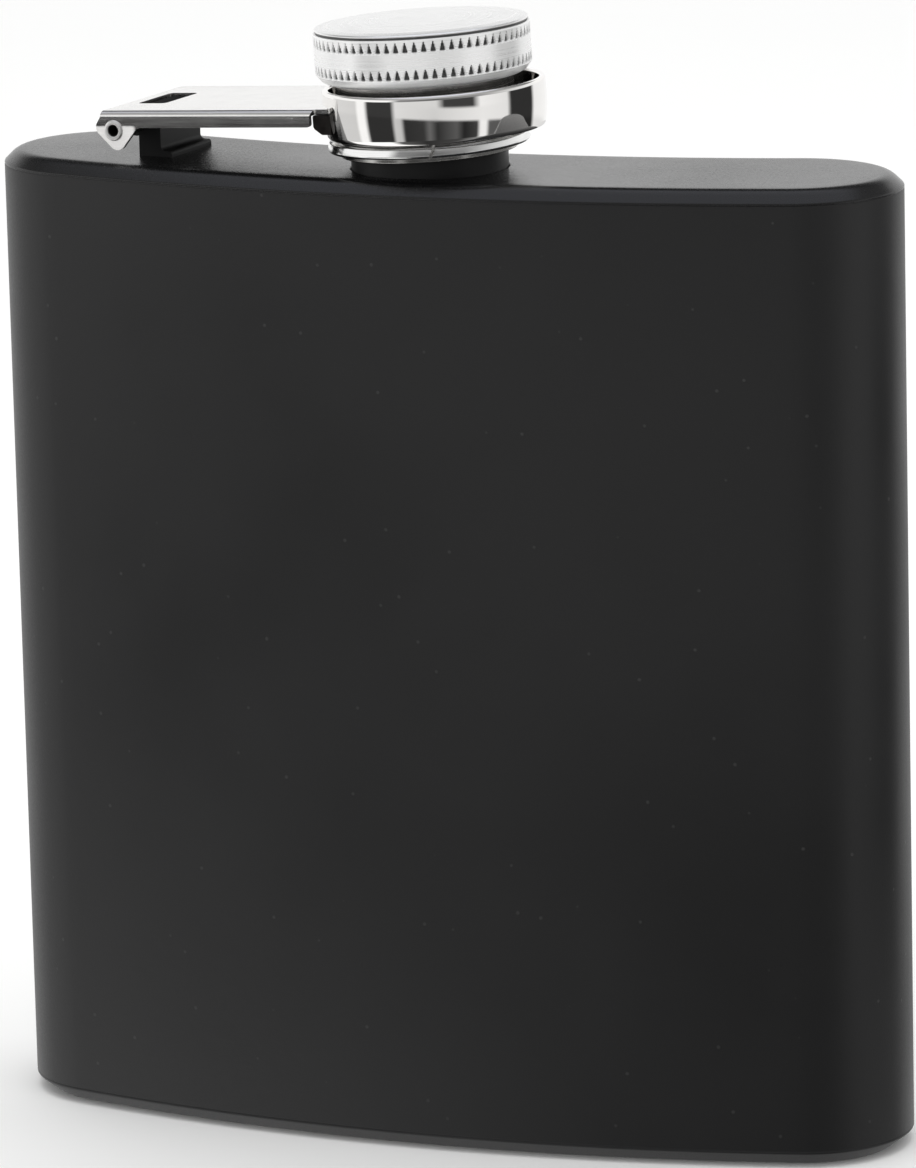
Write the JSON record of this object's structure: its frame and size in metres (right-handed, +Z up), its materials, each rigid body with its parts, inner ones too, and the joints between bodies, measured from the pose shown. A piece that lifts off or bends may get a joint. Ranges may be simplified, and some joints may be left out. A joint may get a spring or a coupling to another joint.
{
  "type": "hip flask",
  "caption": "Curved metal pocket flask with a black coated body, a screw neck and a knurled bright cap held in a collar on a hinged arm.",
  "frame": {"origin": "on the bottom plate's flat resting face, directly under the axis of the neck", "axes": "+Z up along the neck, +X along the width away from the hinge, -Y the bulging front and +Y the hollow back"},
  "size_m": [0.092, 0.0257, 0.1104],
  "materials": {
    "black_coat": "fine satin black coating",
    "gloss_black": "smooth semi-gloss black coating",
    "bright_steel": "fine brushed stainless steel",
    "polished_steel": "mirror polished",
    "sealing_rubber": "translucent grey silicone"
  },
  "bodies": {
    "flask": {"body_wrap": "black_coat", "top_plate": "gloss_black", "bottom_plate": "black_coat", "neck_spout": "gloss_black", "hinge_bracket": "gloss_black"},
    "arm": {"lid_arm": "bright_steel", "collar_ring": "polished_steel", "hinge_pin": "polished_steel"},
    "cap": {"cap_shell": "bright_steel", "cap_core": "bright_steel", "retaining_ring": "polished_steel", "seal_disc": "sealing_rubber"}
  },
  "joints": [
    {"name": "arm_hinge", "type": "hinge", "parent": "flask", "child": "arm", "pos_m": [-0.02999, 0.0031, 0.09885], "axis": [-0.1028, -0.9947, 0], "range_deg": [0, 138]},
    {"name": "cap_spin", "type": "hinge", "parent": "arm", "child": "cap", "pos_m": [0, 0, 0.0972], "axis": [-0.0521, 0.0054, 0.9986], "continuous": true}
  ]
}
